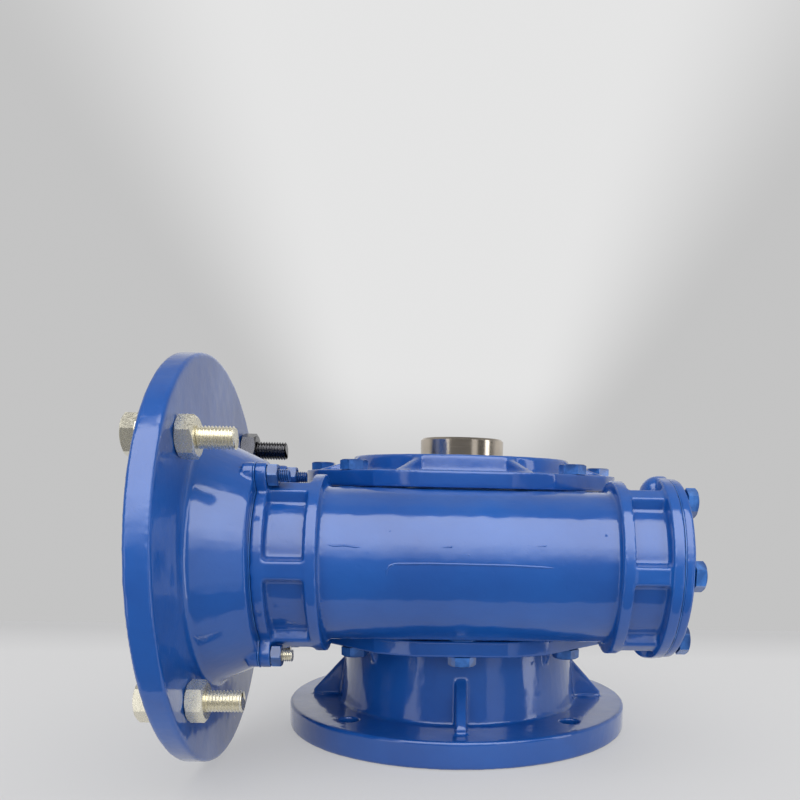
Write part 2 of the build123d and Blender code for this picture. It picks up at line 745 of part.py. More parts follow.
os.makedirs("parts", exist_ok=True)
for name, shape in nodes.items():
    export_step(shape, f"parts/{name}.step")
print(len(nodes), "nodes, worm pitch radius", round(worm_pitch_r, 3), "lead", round(lead, 3),
      "cover flat half angle", round(degrees(acos(cover_flat_r / cover_r)), 1))
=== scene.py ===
import json
import math

import bpy
from mathutils import Matrix, Vector

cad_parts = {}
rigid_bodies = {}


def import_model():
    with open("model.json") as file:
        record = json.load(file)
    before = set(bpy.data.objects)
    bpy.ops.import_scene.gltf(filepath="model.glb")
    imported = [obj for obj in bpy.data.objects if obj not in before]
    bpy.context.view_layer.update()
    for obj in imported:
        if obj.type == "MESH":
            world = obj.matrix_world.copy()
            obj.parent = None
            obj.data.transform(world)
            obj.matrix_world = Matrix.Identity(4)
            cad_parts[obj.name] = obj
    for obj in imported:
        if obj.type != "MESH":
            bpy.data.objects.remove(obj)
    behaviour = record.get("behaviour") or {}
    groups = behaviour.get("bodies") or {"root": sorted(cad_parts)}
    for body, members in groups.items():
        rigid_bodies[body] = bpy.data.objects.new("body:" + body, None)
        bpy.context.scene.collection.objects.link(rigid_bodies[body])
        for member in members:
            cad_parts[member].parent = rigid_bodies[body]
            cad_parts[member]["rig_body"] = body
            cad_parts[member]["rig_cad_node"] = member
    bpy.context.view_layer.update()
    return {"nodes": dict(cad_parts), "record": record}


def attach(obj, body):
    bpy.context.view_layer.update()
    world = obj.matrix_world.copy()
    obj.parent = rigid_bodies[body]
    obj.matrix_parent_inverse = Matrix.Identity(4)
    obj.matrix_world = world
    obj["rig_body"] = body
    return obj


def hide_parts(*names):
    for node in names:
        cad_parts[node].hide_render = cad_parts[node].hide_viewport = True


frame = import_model()
nodes = frame["nodes"]
mm = 0.001
print("frame loaded:", len(nodes), "nodes")

wormAxis = Vector((0, -86 * mm, 105 * mm))  # a point on the worm's axis, which runs along X
wheelAxis = Vector((0, 0, 105 * mm))        # a point on the wheel's axis, which runs along Z
wormTurn = Matrix(((0, 0, 1, 0),     # local Z lies along +X, local X points to the front
                   (-1, 0, 0, 0),
                   (0, -1, 0, 0),
                   (0, 0, 0, 1)))
wormFrame = Matrix.Translation(wormAxis) @ wormTurn
wheelFrame = Matrix.Translation(wheelAxis)


# camera

cameraView = {
    "place": (-0.0114, -0.5128, 0.1425),
    "heading": -3.107,    # degrees from +Y, turning left
    "tilt": -9.357,
    "roll": 1.248,
    "lens": 37.06,
    "shift": (-0.1063, 0.2854),
}


def addCamera(view):
    data = bpy.data.cameras.new("camera")
    data.lens, data.sensor_width = view["lens"], 36
    data.shift_x, data.shift_y = view["shift"]
    data.clip_start, data.clip_end = 0.01, 20
    cam = bpy.data.objects.new("camera", data)
    bpy.context.scene.collection.objects.link(cam)
    turn = Matrix.Rotation(math.radians(view["heading"]), 4, "Z")
    tip = Matrix.Rotation(math.radians(90 + view["tilt"]), 4, "X")
    lean = Matrix.Rotation(math.radians(view["roll"]), 4, "Z")
    cam.matrix_world = Matrix.Translation(view["place"]) @ turn @ tip @ lean
    bpy.context.scene.camera = cam


addCamera(cameraView)


# small helpers for meshes

def selectNone():
    if bpy.context.mode != "OBJECT":
        bpy.ops.object.mode_set(mode="OBJECT")
    bpy.ops.object.select_all(action="DESELECT")


def pick(obj):
    selectNone()
    obj.select_set(True)
    bpy.context.view_layer.objects.active = obj


def editing(obj, selectAll=True):
    pick(obj)
    bpy.ops.object.mode_set(mode="EDIT")
    bpy.ops.mesh.select_all(action="SELECT" if selectAll else "DESELECT")


def doneEditing():
    bpy.ops.object.mode_set(mode="OBJECT")


def applyModifier(obj, kind, **values):
    pick(obj)
    modifier = obj.modifiers.new(kind.lower(), kind)
    for key, value in values.items():
        setattr(modifier, key, value)
    bpy.ops.object.modifier_apply(modifier=modifier.name)


def bevelEdges(obj, width, segments=1, angle=50):
    applyModifier(obj, "BEVEL", width=width, segments=segments, limit_method="ANGLE",
                  angle_limit=math.radians(angle))


def cutWith(obj, tool, operation):
    applyModifier(obj, "BOOLEAN", operation=operation, object=tool, solver="EXACT")
    bpy.data.objects.remove(tool)


def cylinder(name, radius, bottom, top, sides=48):
    selectNone()
    bpy.ops.mesh.primitive_cylinder_add(vertices=sides, radius=radius, depth=top - bottom,
                                        location=(0, 0, (top + bottom) / 2))
    obj = bpy.context.object
    obj.name = name
    bpy.ops.object.transform_apply(location=True, rotation=True, scale=True)
    return obj


def cone(name, lowRadius, highRadius, bottom, top, sides=48):
    selectNone()
    bpy.ops.mesh.primitive_cone_add(vertices=sides, radius1=lowRadius, radius2=highRadius, depth=top - bottom,
                                    location=(0, 0, (top + bottom) / 2))
    obj = bpy.context.object
    obj.name = name
    bpy.ops.object.transform_apply(location=True, rotation=True, scale=True)
    return obj


def tidyMesh(obj, angle=32):
    editing(obj)
    bpy.ops.mesh.remove_doubles(threshold=0.000005)
    bpy.ops.mesh.normals_make_consistent(inside=False)
    doneEditing()
    bpy.ops.object.shade_smooth_by_angle(angle=math.radians(angle))


def copyTo(source, name, place):
    copy = source.copy()
    copy.data = source.data.copy()
    copy.name = name
    bpy.context.scene.collection.objects.link(copy)
    copy.data.transform(place)
    return copy


def aroundAxis(base, radius, angles, height=0.0):
    out = Matrix.Translation((radius, 0, height))
    return [base @ Matrix.Rotation(math.radians(angle), 4, "Z") @ out for angle in angles]


def place(obj, slot, *replaced, body="gearcase"):
    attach(obj, body)
    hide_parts(*replaced)


# small helpers for materials

def newMaterial(name):
    mat = bpy.data.materials.new(name)
    mat.use_nodes = True
    tree = mat.node_tree
    return mat, tree, tree.nodes["Principled BSDF"]


def add(tree, kind, **values):
    node = tree.nodes.new(kind)
    for key, value in values.items():
        if key in node.bl_rna.properties:
            setattr(node, key, value)
        else:
            node.inputs[key.replace("_", " ")].default_value = value
    return node


def link(tree, source, target):
    tree.links.new(source, target)


def feed(tree, socket, value):
    if isinstance(value, (tuple, float, int)):
        socket.default_value = value
    else:
        link(tree, value, socket)


def objectCoords(tree):
    return add(tree, "ShaderNodeTexCoord").outputs["Object"]


def noise(tree, coords, scale, detail=3.0, roughness=0.5):
    node = add(tree, "ShaderNodeTexNoise", Detail=detail, Roughness=roughness)
    feed(tree, node.inputs["Scale"], scale)
    link(tree, coords, node.inputs["Vector"])
    return node.outputs["Fac"]


def remap(tree, value, low, high, outLow=0.0, outHigh=1.0):
    node = add(tree, "ShaderNodeMapRange")
    for index, number in enumerate((low, high, outLow, outHigh), start=1):
        feed(tree, node.inputs[index], number)
    link(tree, value, node.inputs["Value"])
    return node.outputs["Result"]


def calculate(tree, operation, *values):
    node = add(tree, "ShaderNodeMath", operation=operation)
    for socket, value in zip(node.inputs, values):
        feed(tree, socket, value)
    return node.outputs[0]


def product(tree, total, *factors):
    for factor in factors:
        total = calculate(tree, "MULTIPLY", total, factor)
    return total


def blendColours(tree, mask, first, second):
    node = add(tree, "ShaderNodeMix", data_type="RGBA")
    for socket, value in zip((node.inputs[0], node.inputs[6], node.inputs[7]), (mask, first, second)):
        feed(tree, socket, value)
    return node.outputs[2]


def bump(tree, height, strength, distance, normal=None):
    node = add(tree, "ShaderNodeBump", Strength=strength, Distance=distance)
    link(tree, height, node.inputs["Height"])
    if normal:
        link(tree, normal, node.inputs["Normal"])
    return node.outputs["Normal"]


def setShader(shader, **values):
    for key, value in values.items():
        shader.inputs[key.replace("_", " ")].default_value = value


def useMaterial(obj, mat):
    obj.data.materials.clear()
    obj.data.materials.append(mat)


def newGroup(name, inputs, outputs):
    tree = bpy.data.node_groups.new(name, "ShaderNodeTree")
    for title, default in inputs.items():
        kind = "NodeSocketVector" if title == "Coords" else "NodeSocketFloat"
        socket = tree.interface.new_socket(name=title, in_out="INPUT", socket_type=kind)
        if kind == "NodeSocketFloat":
            socket.default_value = default
    for title in outputs:
        tree.interface.new_socket(name=title, in_out="OUTPUT", socket_type="NodeSocketFloat")
    return tree, tree.nodes.new("NodeGroupInput").outputs, tree.nodes.new("NodeGroupOutput").inputs


def useGroup(tree, group, coords, **values):
    node = tree.nodes.new("ShaderNodeGroup")
    node.node_tree = group
    if coords:
        link(tree, coords, node.inputs["Coords"])
    for key, value in values.items():
        node.inputs[key].default_value = value
    return node.outputs


# shared surface effects

def castSkinGroup():
    tree, given, out = newGroup("castSkin", {"Coords": 0, "Peel": 1.0, "Waves": 1.0, "Pits": 0.3}, ["Height"])
    peel = noise(tree, given["Coords"], 420.0, 2.0)
    waves = noise(tree, given["Coords"], 75.0, 2.0)
    pits = remap(tree, noise(tree, given["Coords"], 330.0, 3.0), 0.30, 0.38, -1.0, 0.0)
    total = product(tree, peel, given["Peel"])
    total = calculate(tree, "ADD", total, product(tree, waves, given["Waves"]))
    total = calculate(tree, "ADD", total, product(tree, pits, given["Pits"]))
    link(tree, total, out["Height"])
    return tree


def edgeWearGroup():
    tree, given, out = newGroup("edgeWear", {"Coords": 0, "Start": 0.53, "End": 0.6, "Patchy": 0.5}, ["Mask"])
    sharp = add(tree, "ShaderNodeNewGeometry").outputs["Pointiness"]
    edge = remap(tree, sharp, given["Start"], given["End"])
    patches = remap(tree, noise(tree, given["Coords"], 130.0, 4.0, 0.65), 0.42, 0.62)
    blend = product(tree, patches, given["Patchy"])
    keep = calculate(tree, "ADD", calculate(tree, "SUBTRACT", 1.0, given["Patchy"]), blend)
    link(tree, product(tree, edge, keep), out["Mask"])
    return tree


def dustGroup():
    tree, given, out = newGroup("dust", {"Coords": 0, "Amount": 0.3}, ["Mask"])
    up = add(tree, "ShaderNodeSeparateXYZ")
    link(tree, add(tree, "ShaderNodeNewGeometry").outputs["Normal"], up.inputs[0])
    flat = remap(tree, up.outputs["Z"], 0.35, 1.0)
    patches = remap(tree, noise(tree, given["Coords"], 60.0, 5.0, 0.6), 0.40, 0.75)
    link(tree, product(tree, flat, patches, given["Amount"]), out["Mask"])
    return tree


def turnedGroup():
    tree, given, out = newGroup("turnedRings", {"Coords": 0, "Fineness": 2600.0}, ["Height"])
    parts = add(tree, "ShaderNodeSeparateXYZ")
    link(tree, given["Coords"], parts.inputs[0])
    squares = [product(tree, parts.outputs[side], parts.outputs[side]) for side in "XY"]
    radius = calculate(tree, "SQRT", calculate(tree, "ADD", *squares))
    joined = add(tree, "ShaderNodeCombineXYZ")
    link(tree, radius, joined.inputs["X"])
    link(tree, parts.outputs["Z"], joined.inputs["Z"])
    rings = noise(tree, joined.outputs[0], given["Fineness"], 2.0)
    link(tree, rings, out["Height"])
    return tree


castSkin = castSkinGroup()
edgeWear = edgeWearGroup()
dust = dustGroup()
turnedRings = turnedGroup()


# finishes

paint = {
    "colour": (0.0055, 0.084, 0.360, 1),
    "deep": (0.0035, 0.064, 0.295, 1),
    "thin": (0.040, 0.170, 0.520, 1),
    "dusty": (0.16, 0.20, 0.30, 1),
    "roughness": 0.42,
    "specular": 0.25,
    "coat": 1.0,
    "coatRoughness": 0.10,
    "coatIOR": 1.6,
    "wear": (0.535, 0.60, 0.55),   # where edge wear starts and ends, and how patchy it is
    "dust": 0.10,
}


def makePaint(name="blueEnamel", darker=1.0, peel=0.5, waves=1.5):
    mat, tree, shader = newMaterial(name)
    coords = objectCoords(tree)
    cloudy = remap(tree, noise(tree, coords, 22, 4), 0.35, 0.65)
    deep, colour = (tuple(c * darker for c in paint[key][:3]) + (1,) for key in ("deep", "colour"))
    base = blendColours(tree, cloudy, deep, colour)
    start, end, patchy = paint["wear"]
    worn = useGroup(tree, edgeWear, coords, Start=start, End=end, Patchy=patchy)["Mask"]
    base = blendColours(tree, worn, base, paint["thin"])
    settled = useGroup(tree, dust, coords, Amount=paint["dust"])["Mask"]
    link(tree, blendColours(tree, settled, base, paint["dusty"]), shader.inputs["Base Color"])
    height = useGroup(tree, castSkin, coords, Peel=peel, Waves=waves, Pits=0.25)["Height"]
    link(tree, bump(tree, height, 0.55, 0.00022), shader.inputs["Normal"])
    link(tree, remap(tree, cloudy, 0.0, 1.0, paint["roughness"] * 1.15, paint["roughness"] * 0.85),
         shader.inputs["Roughness"])
    setShader(shader, Specular_IOR_Level=paint["specular"], Coat_Weight=paint["coat"],
              Coat_Roughness=paint["coatRoughness"], Coat_IOR=paint["coatIOR"])
    return mat


def makeMetal(name, colour, roughness, grain, tint=0.8, grooves=0.05, metallic=1.0):
    mat, tree, shader = newMaterial(name)
    coords = objectCoords(tree)
    streaks = noise(tree, coords, grain, 4)
    darker = tuple(c * tint for c in colour[:3]) + (1,)
    stains = remap(tree, noise(tree, coords, grain / 6, 3), 0.35, 0.65)
    link(tree, blendColours(tree, stains, darker, colour), shader.inputs["Base Color"])
    link(tree, remap(tree, streaks, 0.3, 0.7, roughness * 0.75, roughness * 1.3), shader.inputs["Roughness"])
    link(tree, bump(tree, streaks, grooves, 0.0005), shader.inputs["Normal"])
    setShader(shader, Metallic=metallic)
    return mat


def makeTurned(name, colour, roughness, fineness):
    mat, tree, shader = newMaterial(name)
    coords = objectCoords(tree)
    rings = useGroup(tree, turnedRings, coords, Fineness=fineness)["Height"]
    darker = tuple(c * 0.80 for c in colour[:3]) + (1,)
    stains = remap(tree, noise(tree, coords, 70, 4), 0.40, 0.72)
    link(tree, blendColours(tree, stains, colour, darker), shader.inputs["Base Color"])
    link(tree, remap(tree, rings, 0.3, 0.7, roughness * 0.7, roughness * 1.35), shader.inputs["Roughness"])
    link(tree, bump(tree, rings, 0.12, 0.0002), shader.inputs["Normal"])
    setShader(shader, Metallic=1.0)
    return mat


def makeMatte(name, colour, roughness, grain, tint=0.6):
    mat, tree, shader = newMaterial(name)
    coords = objectCoords(tree)
    speckle = noise(tree, coords, grain, 3)
    darker = tuple(c * tint for c in colour[:3]) + (1,)
    link(tree, blendColours(tree, speckle, darker, colour), shader.inputs["Base Color"])
    link(tree, remap(tree, speckle, 0.3, 0.7, roughness * 0.85, roughness * 1.1), shader.inputs["Roughness"])
    link(tree, bump(tree, speckle, 0.2, 0.0005), shader.inputs["Normal"])
    return mat


blueEnamel = makePaint()
shadedBoltSteel = makeMetal("shadedBoltSteel", (0.17, 0.17, 0.18, 1), 0.24, 520, 0.8, 0.02)   # painted shade: the upper bolt at the back and its nut get a darker steel than the other bolts because they stand in shade
shadedJointEnamel = makePaint("shadedJointEnamel", darker=0.8, peel=0.3, waves=0.5)   # the enamel run into the castings' joints, made darker as painted shade along the joint lines
finishes = {
    "blue_paint": blueEnamel,
    "machined_steel": makeTurned("turnedSteel", (0.80, 0.71, 0.60, 1), 0.17, 2200.0),
    "bronze": makeMetal("tinBronze", (0.66, 0.38, 0.16, 1), 0.26, 340),
    "cast_iron": makeMatte("greyIron", (0.14, 0.14, 0.145, 1), 0.55, 420),
    "zinc_steel": makeMetal("zincPlate", (0.84, 0.80, 0.66, 1), 0.27, 900, 0.97, 0.004, 0.8),
    "seal_rubber": makeMatte("nitrile", (0.022, 0.022, 0.024, 1), 0.42, 520),
    "gasket_sheet": makeMatte("gasketFibre", (0.030, 0.026, 0.022, 1), 0.75, 700),
    "bearing_steel": makeMetal("groundSteel", (0.72, 0.73, 0.75, 1), 0.12, 260, 0.9, 0.02),
    "cage_steel": makeMetal("pressedSteel", (0.46, 0.43, 0.40, 1), 0.36, 420),
}
for part in frame["record"]["subparts"]:
    node = part["node"]
    # the gaskets take the darker enamel: the castings' own paint plus painted shade along the joints
    useMaterial(nodes[node], shadedJointEnamel if node.endswith("_gasket") else finishes[part["material_slot"]])
print("finishes made")


# castings: the frame's solids with cast edges and fillets

castings = {
    "housing": {"name": "housingCasting", "triangles": 170000},
    "top_cover": {"name": "topCoverCasting", "triangles": 90000},
    "output_flange": {"name": "outputFlangeCasting", "triangles": 120000},
    "motor_adapter": {"name": "motorAdapterCasting", "triangles": 110000},
    "worm_end_cover": {"name": "endCoverCasting", "triangles": 30000},
}
castEdges = {
    "voxel": 0.85 * mm,
    "quickVoxel": 1.5 * mm,
    "smoothing": 0.5,
    "rounds": 4,
    "unevenness": 0.24 * mm,   # how deep the cast surface dips between its high spots
    "dipSize": 8.0 * mm,
}


def castCopy(node, spec):
    source = nodes[node]
    copy = source.copy()
    copy.data = source.data.copy()
    copy.parent = None
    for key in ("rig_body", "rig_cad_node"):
        if key in copy:
            del copy[key]
    copy.name = spec["name"]
    bpy.context.scene.collection.objects.link(copy)
    editing(copy)
    bpy.ops.mesh.remove_doubles(threshold=0.00001)
    doneEditing()
    voxel = castEdges["voxel"]
    applyModifier(copy, "REMESH", mode="VOXEL", voxel_size=voxel)
    applyModifier(copy, "SMOOTH", factor=castEdges["smoothing"], iterations=castEdges["rounds"])
    dips = bpy.data.textures.new(spec["name"] + "Dips", "CLOUDS")
    dips.noise_scale = castEdges["dipSize"]
    applyModifier(copy, "DISPLACE", texture=dips, texture_coords="LOCAL", strength=castEdges["unevenness"],
                  mid_level=1.0)
    faces = 2 * len(copy.data.polygons)
    if faces > spec["triangles"]:
        applyModifier(copy, "DECIMATE", ratio=spec["triangles"] / faces)
    pick(copy)
    bpy.ops.object.shade_smooth()
    useMaterial(copy, blueEnamel)
    place(copy, "blue_paint", node)
    print("casting", spec["name"], len(copy.data.polygons), "faces")
    return copy


for node, spec in castings.items():
    castCopy(node, spec)


# threads, bolts, nuts and studs

threadForm = {"depth": 0.58, "crest": 0.12, "flank": 0.32, "root": 0.44}   # in pitches
hexForm = {"face": 0.96, "cornerAngle": 30, "shadeAngle": 18}   # face: share of the width left flat
toolSpare = 0.2 * mm   # how far a cutting tool stands past the piece it cuts


def thread(name, outer, pitch, bottom, top, steps=28):
    crest, flank, valley = threadForm["crest"], threadForm["flank"], threadForm["root"]
    root = outer - threadForm["depth"] * pitch
    selectNone()
    bpy.ops.mesh.primitive_plane_add(size=pitch, location=(0, 0, 0))
    obj = bpy.context.object
    obj.name = name
    editing(obj)
    bpy.ops.mesh.merge(type="CENTER")
    bpy.ops.transform.translate(value=(root, 0, bottom - 2 * pitch))
    for move in ((0, crest), (outer - root, flank), (0, crest), (root - outer, valley)):
        bpy.ops.mesh.extrude_region_move(TRANSFORM_OT_translate={"value": (move[0], 0, move[1] * pitch)})
    doneEditing()
    turns = math.ceil((top - bottom) / pitch) + 3
    applyModifier(obj, "SCREW", axis="Z", angle=math.radians(360), screw_offset=pitch, iterations=turns,
                  steps=steps, render_steps=steps, use_merge_vertices=True)
    editing(obj)
    bpy.ops.mesh.remove_doubles(threshold=0.000004)
    for level, keepAbove in ((bottom, True), (top, False)):
        bpy.ops.mesh.select_all(action="SELECT")
        bpy.ops.mesh.bisect(plane_co=(0, 0, level), plane_no=(0, 0, 1), use_fill=True,
                            clear_inner=keepAbove, clear_outer=not keepAbove)
    bpy.ops.mesh.select_all(action="SELECT")
    bpy.ops.mesh.normals_make_consistent(inside=False)
    doneEditing()
    return obj


def chamferedRod(name, radius, bottom, top, chamfer, sides=40):
    obj = cylinder(name, radius, bottom, top, sides)
    bevelEdges(obj, chamfer, segments=2, angle=60)
    return obj


def hexPrism(name, width, bottom, top, bothEnds=False):
    corner = width / math.sqrt(3)
    body = cylinder(name, corner, bottom, top, sides=6)
    height, face = top - bottom, width / 2 * hexForm["face"]
    spread = height / math.tan(math.radians(hexForm["cornerAngle"]))   # the corners are turned off
    cutWith(body, cone(name + "Turned", face + spread, face, bottom, top, 72), "INTERSECT")
    if bothEnds:
        cutWith(body, cone(name + "Turned", face, face + spread, bottom, top, 72), "INTERSECT")
    return body


def boltModel(name, spec):
    shank, width, head, length = (spec[key] * mm for key in ("radius", "width", "head", "length"))
    body = hexPrism(name, width, 0, head)
    threadEnd = spec["pitch"] * mm
    shaft = thread(name + "Thread", shank, threadEnd, -length, -0.4 * mm)
    tip = chamferedRod(name + "Tip", shank + toolSpare, -length, 1.0 * mm, threadEnd * 0.55)
    cutWith(shaft, tip, "INTERSECT")
    neck = cylinder(name + "Neck", shank - 0.3 * threadEnd, -1.2 * mm, head / 2)
    cutWith(shaft, neck, "UNION")
    cutWith(body, shaft, "UNION")
    bevelEdges(body, 0.14 * mm)
    tidyMesh(body, hexForm["shadeAngle"])
    return body


def nutModel(name, width, hole, height):
    body = hexPrism(name, width, 0, height, bothEnds=True)
    bore = cylinder(name + "Bore", hole, -1 * mm, height + 1 * mm)
    cutWith(body, bore, "DIFFERENCE")
    wide, narrow, depth, past = hole * 1.16, hole * 0.9, hole * 0.26, 0.01 * mm   # both ends are countersunk
    cutWith(body, cone(name + "Sink", wide, narrow, -past, depth), "DIFFERENCE")
    cutWith(body, cone(name + "Sink", narrow, wide, height - depth, height + past), "DIFFERENCE")
    bevelEdges(body, 0.12 * mm)
    tidyMesh(body, hexForm["shadeAngle"])
    return body


def copies(model, name, places, slot, node, finish):
    for number, where in enumerate(places, start=1):
        copy = copyTo(model, f"{name}{number}", where)
        useMaterial(copy, finish)
        place(copy, slot, node)
    bpy.data.objects.remove(model)


motorFasteners = {
    "bolt": {"radius": 5.0, "width": 17.0, "head": 6.4, "length": 40.0, "pitch": 1.5},
    "nutHeight": 8.0,
    "circle": 82.5,
    "headSeat": -140.5,   # where the heads' undersides lie along the worm's axis
    "nutSeat": -124.6,
    "angles": (45, 135, 315),
    # painted shade: the bolt and nut at this angle get the darker steel for the shade they stand in
    "shadedAngles": (225,),
}
coverFasteners = {
    "bolt": {"radius": 4.0, "width": 13.0, "head": 5.3, "length": 20.0, "pitch": 1.25},
    "circle": 83.5,
    "seat": 48.3,
    "angles": (-45, 0, 45, 90, 135, 180, 225),
}
endFasteners = {
    "bolt": {"radius": 4.0, "width": 13.0, "head": 5.3, "length": 16.0, "pitch": 1.25},
    "circle": 39.7,
    "seat": 108.5,
    "angles": (0, 60, 120, 180, 240, 300),
}
jointFasteners = {
    "radius": 3.0, "pitch": 1.0, "start": -106.0, "end": -84.0,
    "nut": (10.0, 3.1, 5.0),   # width, hole radius and height
    "nutSeat": -94.0,
    "circle": 50.3,
    "lower": (60, 120),        # bare, the upper two painted over
    "upper": (240, 300),
}

zinc = finishes["zinc_steel"]
flip = Matrix.Rotation(math.pi, 4, "X")


def fitMotorFasteners(spec):
    circle, angles = spec["circle"] * mm, spec["angles"]
    bolt = boltModel("motorBoltModel", spec["bolt"])
    nut = nutModel("motorNutModel", spec["bolt"]["width"] * mm, 5.1 * mm, spec["nutHeight"] * mm)
    # the second group is painted shade: the same bolts and nuts in a darker steel
    for label, group, finish in (("", angles, zinc), ("Shaded", spec["shadedAngles"], shadedBoltSteel)):
        heads = [m @ flip for m in aroundAxis(wormFrame, circle, group, spec["headSeat"] * mm)]
        copies(copyTo(bolt, "boltCopy", Matrix()), "motorBolt" + label, heads, "zinc_steel",
               "motor_bolts", finish)
        seats = aroundAxis(wormFrame, circle, group, spec["nutSeat"] * mm)
        copies(copyTo(nut, "nutCopy", Matrix()), "motorNut" + label, seats, "zinc_steel",
               "motor_nuts", finish)
    bpy.data.objects.remove(bolt)
    bpy.data.objects.remove(nut)


def fitCoverFasteners(spec):
    circle, seat = spec["circle"] * mm, spec["seat"] * mm
    upper = aroundAxis(wheelFrame, circle, spec["angles"], seat)
    lower = [wheelFrame @ flip @ wheelFrame.inverted() @ m for m in upper]
    painted = makePaint("boltEnamel", darker=0.5, peel=0.3, waves=0.5)
    for name, places, node in (("topCoverBolt", upper, "top_cover_bolts"),
                               ("flangeBolt", lower, "output_flange_bolts")):
        copies(boltModel(name, spec["bolt"]), name, places, "blue_paint", node, painted)
    return painted


def fitEndFasteners(spec, painted):
    places = aroundAxis(wormFrame, spec["circle"] * mm, spec["angles"], spec["seat"] * mm)
    model = boltModel("endCoverBolt", spec["bolt"])
    copies(model, "endCoverBolt", places, "blue_paint", "end_cover_bolts", painted)


def fitJointFasteners(spec, painted):
    circle = spec["circle"] * mm
    radius, pitch, start, end = (spec[key] * mm for key in ("radius", "pitch", "start", "end"))
    rod = thread("stud", radius, pitch, start, end, 20)
    tip = chamferedRod("studTip", radius + toolSpare, start, end, 0.5 * mm)
    cutWith(rod, tip, "INTERSECT")
    tidyMesh(rod, hexForm["shadeAngle"])
    for label, angles, finish in (("Low", spec["lower"], zinc), ("High", spec["upper"], painted)):
        places = aroundAxis(wormFrame, circle, angles)
        copies(copyTo(rod, "studModel", Matrix()), "adapterStud" + label, places, "blue_paint",
               "adapter_studs", finish)
    bpy.data.objects.remove(rod)
    width, hole, height = (v * mm for v in spec["nut"])
    nut = nutModel("adapterNut", width, hole, height)
    places = [m @ Matrix.Rotation(math.radians(30), 4, "Z")
              for m in aroundAxis(wormFrame, circle, spec["lower"] + spec["upper"], spec["nutSeat"] * mm)]
    copies(nut, "adapterNut", places, "blue_paint", "adapter_nuts", painted)


fitMotorFasteners(motorFasteners)
painted = fitCoverFasteners(coverFasteners)
fitEndFasteners(endFasteners, painted)
fitJointFasteners(jointFasteners, painted)
print("fasteners fitted")


# the seam left by the mould along the worm tube, and the paint's runs beside it

tubeBeads = {
    "mouldSeam": {"radius": 0.7, "depth": 0.42,    # depth: how far a bead's middle lies under the tube's skin
                  "path": ((-37.4, -2.6), (-37.2, 0.4), (-36.0, 2.6), (-33.0, 3.6), (-18.0, 3.9), (2.0, 3.8),
                           (22.0, 3.6), (36.0, 3.1), (42.0, 2.8))},    # along the tube and up from its front
    "paintRunLeft": {"radius": 0.7, "depth": 0.5,
                     "path": ((-66.0, 12.0), (-62.3, 11.3), (-56.7, 11.6), (-52.0, 10.9), (-48.4, 11.2))},
    "paintRunMiddle": {"radius": 0.6, "depth": 0.4, "path": ((-15.6, 12.2), (-11.9, 11.3), (-6.2, 11.9))},
    "paintRunRight": {"radius": 0.6, "depth": 0.4, "path": ((28.8, 13.4), (33.6, 12.6), (38.4, 13.1))},
    "paintDropLeft": {"radius": 0.7, "depth": 0.45, "path": ((-38.7, 17.2), (-36.9, 18.2), (-35.4, 18.6))},
    "paintDropMiddle": {"radius": 0.7, "depth": 0.45, "path": ((-0.5, 10.6), (0.9, 8.8), (2.0, 7.6))},
}


def addTubeBead(name, spec, tubeRadius=39.0):
    reach = (tubeRadius - spec["depth"]) * mm
    points = []
    for along, up in spec["path"]:
        lift = up * mm
        points.append(wormAxis + Vector((along * mm, -math.sqrt(reach ** 2 - lift ** 2), lift)))
    selectNone()
    bpy.ops.mesh.primitive_plane_add(size=1 * mm, location=points[0])
    bead = bpy.context.object
    bead.name = name
    bpy.ops.object.transform_apply(location=True)
    editing(bead)
    bpy.ops.mesh.merge(type="CENTER")
    for start, end in zip(points, points[1:]):
        bpy.ops.mesh.extrude_region_move(TRANSFORM_OT_translate={"value": end - start})
    doneEditing()
    pick(bead)
    skin = bead.modifiers.new("skin", "SKIN")
    last = len(points) - 1
    for number, vertex in enumerate(bead.data.skin_vertices[0].data):
        width = spec["radius"] * mm * (0.45 if number in (0, last) else 1.0)
        vertex.radius = (width, width)
    bpy.ops.object.modifier_apply(modifier=skin.name)
    applyModifier(bead, "SUBSURF", levels=2)
    tidyMesh(bead, 60)
    useMaterial(bead, blueEnamel)
    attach(bead, "gearcase")


for name, spec in tubeBeads.items():
    addTubeBead(name, spec)
print("tube beads added")


# stage and light

studio = {
    "floorNear": (0.64, 0.64, 0.645, 1),
    "floorFar": (0.54, 0.54, 0.545, 1),
    "floorSheen": 0.58,               # share of its level that the camera sees without shadows
    "floorFade": (0.20, 0.33),        # metres behind the output axis over which the floor darkens
    "floorReach": (-0.20, 0.36),      # its front and back edges
    "wall": 0.55,
    "glow": 0.78,
    "glowWidth": (0.10, 0.53),        # half width at the horizon, and how it widens upwards
    "glowEdge": (1.40, 0.55),         # where it ends and where it is full, in half widths
    "glowFoot": (-0.03, 0.14),        # the rise over which it comes up
    "highWall": (0.3, 0.8, 1.0, 0.40),   # how the paint sees the wall darken upwards
    "ambient": 0.80,
    "front": 0.10,                    # the unlit room in front, as the paint reflects it
    "softbox": {"level": 3.5, "top": (84, 79), "bottom": (4, 42), "sides": (0.75, 0.60)},
    "panels": ((-47, 9, 1.3), (34, 8, 0.6), (73, 6, 2.6)),   # degrees from the front, half width, level
    "panelFoot": (-0.45, -0.30),
    "panelHead": (0.80, 0.70),
    "key": {"place": (0.05, -0.66, 1.16), "size": (1.5, 1.1), "radiance": 1.15},
    "fill": {"place": (0.10, -1.25, 0.36), "size": (1.6, 0.7), "radiance": 1.5},
}


def addAreaLight(name, light, target=(0, -0.06, 0.1)):
    width, height = light["size"]
    data = bpy.data.lights.new(name, "AREA")
    data.shape = "RECTANGLE"
    data.size, data.size_y = width, height
    data.energy = light["radiance"] * math.pi * width * height
    obj = bpy.data.objects.new(name, data)
    bpy.context.scene.collection.objects.link(obj)
    obj.location = light["place"]
    obj.rotation_euler = (Vector(target) - Vector(light["place"])).to_track_quat("-Z", "Y").to_euler()
    obj.visible_glossy = False   # the world's softbox stands for it in reflections


